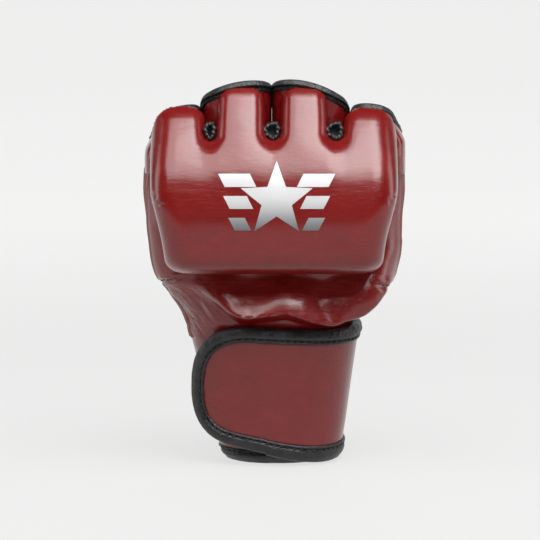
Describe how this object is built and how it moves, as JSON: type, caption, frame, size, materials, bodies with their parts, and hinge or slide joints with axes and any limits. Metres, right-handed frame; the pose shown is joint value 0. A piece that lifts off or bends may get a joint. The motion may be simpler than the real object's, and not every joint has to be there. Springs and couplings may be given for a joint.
{
  "type": "mma glove",
  "caption": "Left-hand open-palm grappling glove with a padded knuckle block, split finger lobes, bound finger mouths and a hook-and-loop wrist strap.",
  "frame": {"origin": "centre of the bounding box at the height of the hem, on which the glove stands", "axes": "+Z from the wrist to the fingers, -Y out of the back of the hand, +X to the thumb side"},
  "size_m": [0.129, 0.09, 0.1907],
  "materials": {
    "red_leather": "semi-gloss",
    "black_leather": "satin",
    "lining_fabric": "matt",
    "foam": "matt",
    "hook_and_loop": "matt"
  },
  "bodies": {
    "glove": {"cuff_leather": "red_leather", "cuff_padding": "foam", "cuff_lining": "lining_fabric", "cuff_hem_binding": "black_leather", "loop_patch": "hook_and_loop", "hand_back_panel": "red_leather", "hand_lining": "lining_fabric", "pinky_gusset": "red_leather", "index_gusset": "red_leather", "palm_bar": "red_leather", "palm_bar_binding": "black_leather", "heel_panel": "red_leather", "heel_binding": "black_leather", "thumb_binding": "black_leather", "knuckle_cover": "red_leather", "knuckle_foam": "foam", "knuckle_backing": "red_leather", "strap_anchor": "black_leather", "strap_base_leather": "red_leather", "strap_base_lining": "lining_fabric", "strap_base_binding": "black_leather"},
    "strap_front": {"strap_front_leather": "red_leather", "strap_front_lining": "lining_fabric", "strap_front_binding": "black_leather"},
    "strap_tip": {"strap_tip_leather": "red_leather", "strap_tip_lining": "lining_fabric", "strap_tip_binding": "black_leather", "hook_patch": "hook_and_loop"},
    "pinky_finger": {"pinky_cover": "red_leather", "pinky_foam": "foam", "pinky_stall": "red_leather", "pinky_binding": "black_leather"},
    "ring_finger": {"ring_cover": "red_leather", "ring_foam": "foam", "ring_stall": "red_leather", "ring_binding": "black_leather"},
    "middle_finger": {"middle_cover": "red_leather", "middle_foam": "foam", "middle_stall": "red_leather", "middle_binding": "black_leather"},
    "index_finger": {"index_cover": "red_leather", "index_foam": "foam", "index_stall": "red_leather", "index_binding": "black_leather"}
  },
  "joints": [
    {"name": "strap_swing", "type": "hinge", "parent": "glove", "child": "strap_front", "pos_m": [0.03425, 0.01019, 0], "axis": [0.1405, 0, 0.9901], "range_deg": [0, 110]},
    {"name": "tip_peel", "type": "hinge", "parent": "strap_front", "child": "strap_tip", "pos_m": [-0.00725, -0.01831, 0], "axis": [0, -0.0942, 0.9956], "range_deg": [0, 90]},
    {"name": "pinky_flex", "type": "hinge", "parent": "glove", "child": "pinky_finger", "pos_m": [0.00075, 0.00219, 0.15], "axis": [-1, 0, 0], "range_deg": [0, 25], "stiffness_Nm_per_rad": 0.1},
    {"name": "ring_flex", "type": "hinge", "parent": "glove", "child": "ring_finger", "pos_m": [0.00075, 0.00219, 0.15], "axis": [-1, 0, 0], "range_deg": [0, 25], "stiffness_Nm_per_rad": 0.1},
    {"name": "middle_flex", "type": "hinge", "parent": "glove", "child": "middle_finger", "pos_m": [0.00075, 0.00219, 0.15], "axis": [-1, 0, 0], "range_deg": [0, 25], "stiffness_Nm_per_rad": 0.1},
    {"name": "index_flex", "type": "hinge", "parent": "glove", "child": "index_finger", "pos_m": [0.00075, 0.00219, 0.15], "axis": [-1, 0, 0], "range_deg": [0, 25], "stiffness_Nm_per_rad": 0.1}
  ]
}
